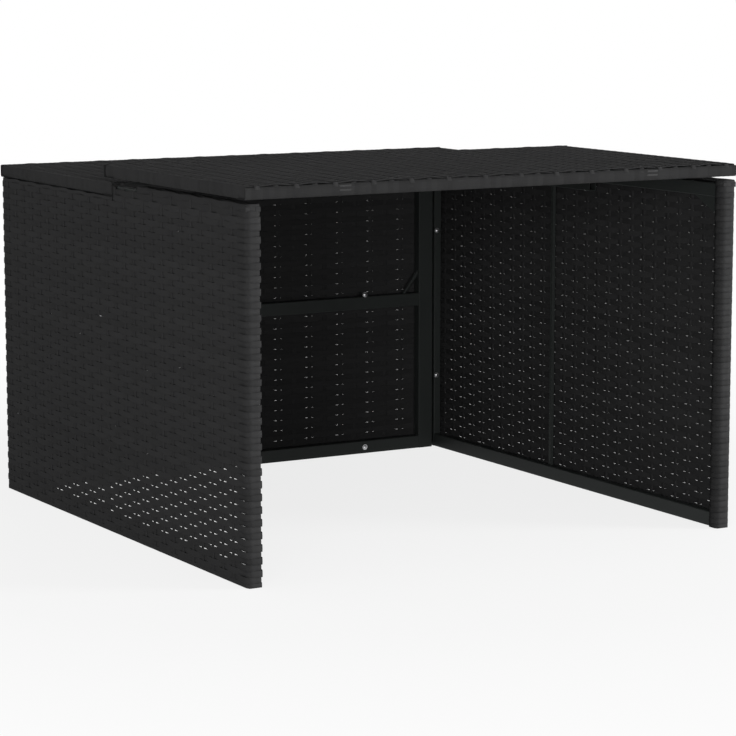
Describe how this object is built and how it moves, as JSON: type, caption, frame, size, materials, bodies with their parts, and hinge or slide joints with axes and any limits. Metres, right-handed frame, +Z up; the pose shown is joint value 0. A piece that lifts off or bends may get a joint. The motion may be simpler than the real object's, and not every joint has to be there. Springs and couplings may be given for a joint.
{
  "type": "robot mower garage",
  "caption": "Open-fronted woven rattan garage for a robot mower, on steel tube frames, with a fixed rear roof and a front roof lid that hinges up.",
  "frame": {"origin": "on the ground, in the middle of the footprint", "axes": "+Z up, -Y out of the open front, +X to the right seen from the back wall towards the right wall"},
  "size_m": [0.75, 0.77, 0.5036],
  "materials": {
    "woven_rattan": "charcoal woven plastic strands with a satin skin",
    "frame_steel": "anthracite powder coat, fine texture",
    "hinge_steel": "bright zinc plate"
  },
  "bodies": {
    "shell": {"left_woven_panel": "woven_rattan", "left_front_post": "frame_steel", "left_rear_post": "frame_steel", "left_front_top_rail": "frame_steel", "left_rear_top_rail": "frame_steel", "left_bottom_rail": "frame_steel", "left_middle_bar": "frame_steel", "right_woven_panel": "woven_rattan", "right_front_post": "frame_steel", "right_rear_post": "frame_steel", "right_front_top_rail": "frame_steel", "right_rear_top_rail": "frame_steel", "right_bottom_rail": "frame_steel", "right_middle_bar": "frame_steel", "corner_gussets": "frame_steel", "back_left_post": "frame_steel", "back_right_post": "frame_steel", "back_top_rail": "frame_steel", "back_middle_rail": "frame_steel", "back_bottom_rail": "frame_steel", "back_woven_panel": "woven_rattan", "back_braces": "frame_steel", "roof_woven_panel": "woven_rattan", "roof_front_rail": "frame_steel", "roof_rear_rail": "frame_steel", "roof_left_rail": "frame_steel", "roof_right_rail": "frame_steel", "hinge_roof_leaves": "hinge_steel", "hinge_pins": "hinge_steel"},
    "lid": {"lid_woven_panel": "woven_rattan", "lid_front_rail": "frame_steel", "lid_rear_rail": "frame_steel", "lid_left_rail": "frame_steel", "lid_right_rail": "frame_steel", "lid_left_batten": "frame_steel", "lid_right_batten": "frame_steel", "hinge_lid_leaves": "hinge_steel"}
  },
  "joints": [
    {"name": "lid_hinge", "type": "hinge", "parent": "shell", "child": "lid", "pos_m": [0, 0.031, 0.4845], "axis": [-1, 0, 0], "range_deg": [0, 100]}
  ]
}
